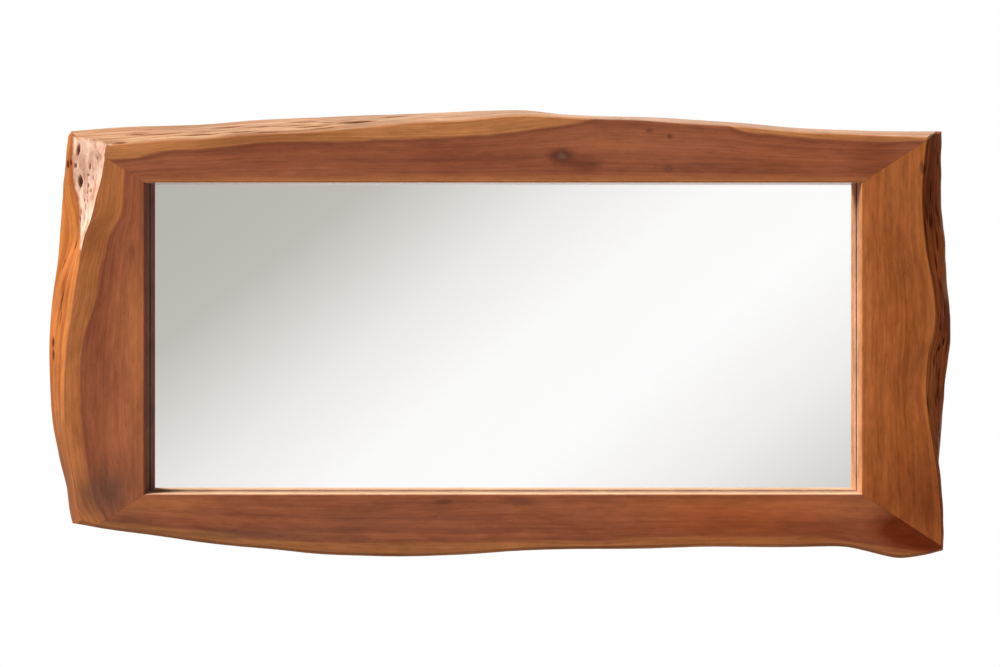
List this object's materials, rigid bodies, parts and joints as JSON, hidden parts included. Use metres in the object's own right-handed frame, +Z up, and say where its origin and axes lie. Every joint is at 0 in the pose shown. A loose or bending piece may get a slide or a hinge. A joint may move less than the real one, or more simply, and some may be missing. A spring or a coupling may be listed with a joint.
{
  "type": "wall mirror",
  "caption": "Landscape wall mirror in a mitred live-edge solid-wood frame, with a recessed pane, screwed backing board, swinging D-ring hangers and rubber wall bumpers.",
  "frame": {"origin": "on the wall plane, behind the middle of the mirror opening", "axes": "+X to the viewer's right along the long side, +Y from the room into the wall, +Z up"},
  "size_m": [1.1997, 0.052, 0.5916],
  "materials": {
    "frame_wood": "semi-gloss clear lacquer over heartwood with a paler sapwood edge",
    "dowel_wood": "plain turned beech",
    "silvered_glass": "clear float glass silvered on its back",
    "hardboard": "brown pressed fibre board, smooth face",
    "zinc_steel": "bright zinc plate",
    "black_rubber": "matt moulded rubber"
  },
  "bodies": {
    "frame": {"top_rail": "frame_wood", "bottom_rail": "frame_wood", "left_stile": "frame_wood", "right_stile": "frame_wood", "dowels_top_left": "dowel_wood", "dowels_top_right": "dowel_wood", "dowels_bottom_left": "dowel_wood", "dowels_bottom_right": "dowel_wood", "mirror_pane": "silvered_glass", "backing_board": "hardboard", "backing_screws": "zinc_steel", "hanger_strap_left": "zinc_steel", "hanger_strap_right": "zinc_steel", "hanger_screws_left": "zinc_steel", "hanger_screws_right": "zinc_steel", "wall_bumper_left": "black_rubber", "wall_bumper_right": "black_rubber"},
    "left_ring": {"hanger_ring_left": "zinc_steel"},
    "right_ring": {"hanger_ring_right": "zinc_steel"}
  },
  "joints": [
    {"name": "left_ring_swing", "type": "hinge", "parent": "frame", "child": "left_ring", "pos_m": [-0.54, -0.0035, 0.11], "axis": [-1, 0, 0], "range_deg": [0, 170]},
    {"name": "right_ring_swing", "type": "hinge", "parent": "frame", "child": "right_ring", "pos_m": [0.54, -0.0035, 0.11], "axis": [-1, 0, 0], "range_deg": [0, 170]}
  ]
}
